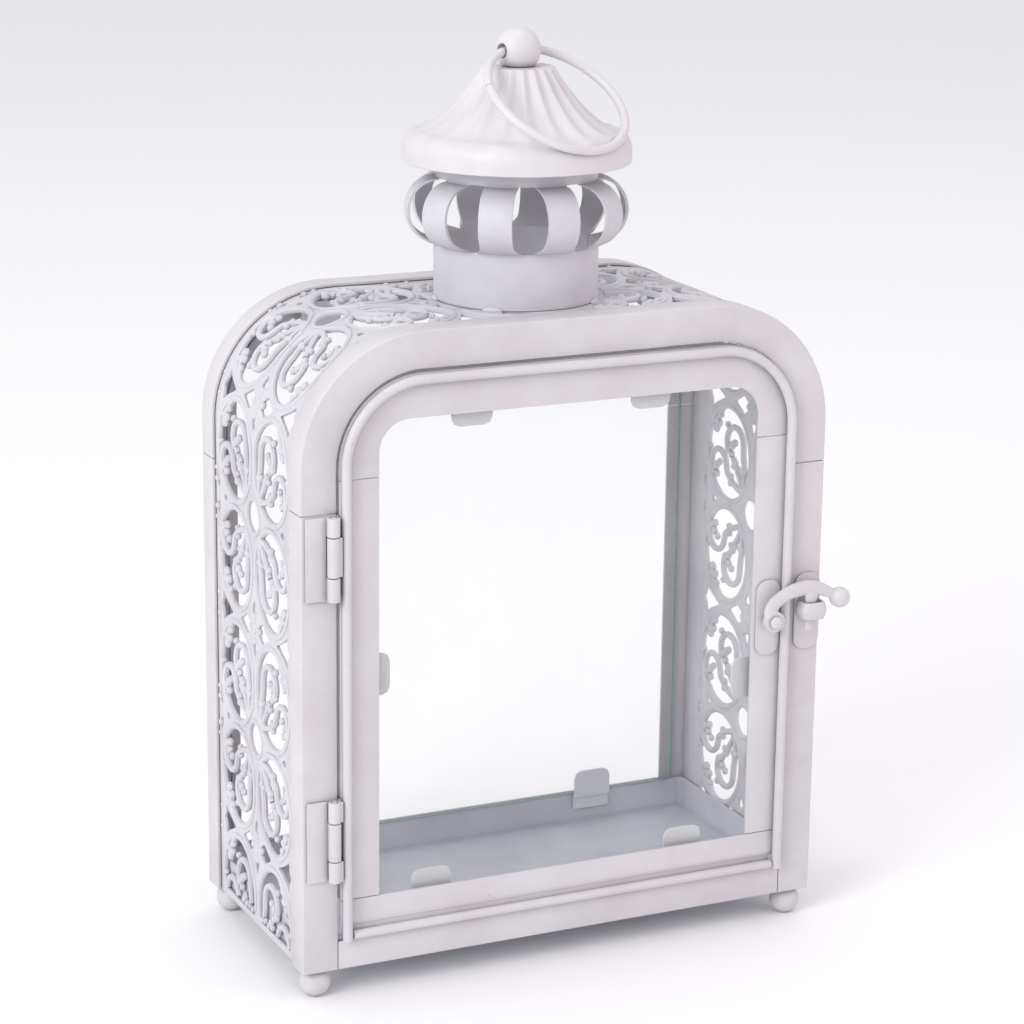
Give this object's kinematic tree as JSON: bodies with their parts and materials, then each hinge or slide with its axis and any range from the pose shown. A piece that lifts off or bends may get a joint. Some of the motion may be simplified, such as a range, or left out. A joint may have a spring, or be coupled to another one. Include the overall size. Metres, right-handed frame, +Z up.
{
  "type": "metal lantern",
  "caption": "Arched metal candle lantern with pierced filigree sides and top, hinged glass door with a hook latch, slit chimney, fluted cap and carry ring.",
  "frame": {"origin": "on the table plane under the middle of the body, midway between the four feet", "axes": "+Z up, the door faces -Y, hinges at -X and latch at +X"},
  "size_m": [0.209, 0.1048, 0.3256],
  "materials": {
    "frame_paint": "satin white paint on 1 mm sheet steel",
    "door_paint": "satin white paint on sheet steel",
    "filigree_paint": "satin white paint on pierced and pressed steel",
    "tray_paint": "satin white paint, slightly greyed",
    "chimney_paint": "satin white paint",
    "cap_paint": "satin white paint, a little glossier",
    "foot_paint": "satin white paint on steel balls",
    "hardware_paint": "satin white paint, thick in the joints",
    "clip_paint": "satin white paint",
    "glass": "clear flat glass"
  },
  "bodies": {
    "lantern_body": {"front_arch": "frame_paint", "front_left_stile": "frame_paint", "front_right_stile": "frame_paint", "front_bottom_rail": "frame_paint", "back_arch": "frame_paint", "back_left_stile": "frame_paint", "back_right_stile": "frame_paint", "back_bottom_rail": "frame_paint", "filigree_band": "filigree_paint", "floor_tray": "tray_paint", "foot_front_left": "foot_paint", "foot_front_right": "foot_paint", "foot_back_left": "foot_paint", "foot_back_right": "foot_paint", "back_glass": "glass", "back_clip_bottom_left": "clip_paint", "back_clip_bottom_right": "clip_paint", "back_clip_top_left": "clip_paint", "back_clip_top_right": "clip_paint", "chimney_cage": "chimney_paint", "cap": "cap_paint", "finial_ball": "cap_paint", "upper_hinge_fixed_leaf": "hardware_paint", "lower_hinge_fixed_leaf": "hardware_paint", "upper_hinge_pin": "hardware_paint", "lower_hinge_pin": "hardware_paint", "catch_plate": "hardware_paint", "catch_staple": "hardware_paint"},
    "door": {"door_left_strip": "door_paint", "door_right_strip": "door_paint", "door_arch_plate": "door_paint", "door_bottom_rail": "door_paint", "door_bead": "door_paint", "door_glass": "glass", "door_clip_bottom_left": "clip_paint", "door_clip_bottom_right": "clip_paint", "door_clip_top_left": "clip_paint", "door_clip_top_right": "clip_paint", "door_clip_left": "clip_paint", "door_clip_right": "clip_paint", "upper_hinge_door_leaf": "hardware_paint", "lower_hinge_door_leaf": "hardware_paint", "latch_plate": "hardware_paint", "latch_rivet": "hardware_paint"},
    "latch": {"latch_hook": "hardware_paint"},
    "ring": {"carry_ring": "cap_paint"}
  },
  "joints": [
    {"name": "door_swing", "type": "hinge", "parent": "lantern_body", "child": "door", "pos_m": [-0.0891, -0.0503, 0.1104], "axis": [0, 0, -1], "range_deg": [0, 160]},
    {"name": "latch_lift", "type": "hinge", "parent": "door", "child": "latch", "pos_m": [0.0783, -0.0532, 0.1175], "axis": [0, -1, 0], "range_deg": [0, 50]},
    {"name": "ring_swing", "type": "hinge", "parent": "lantern_body", "child": "ring", "pos_m": [0, 0, 0.3177], "axis": [-0.9613, -0.2756, 0], "range_deg": [0, 252]}
  ]
}
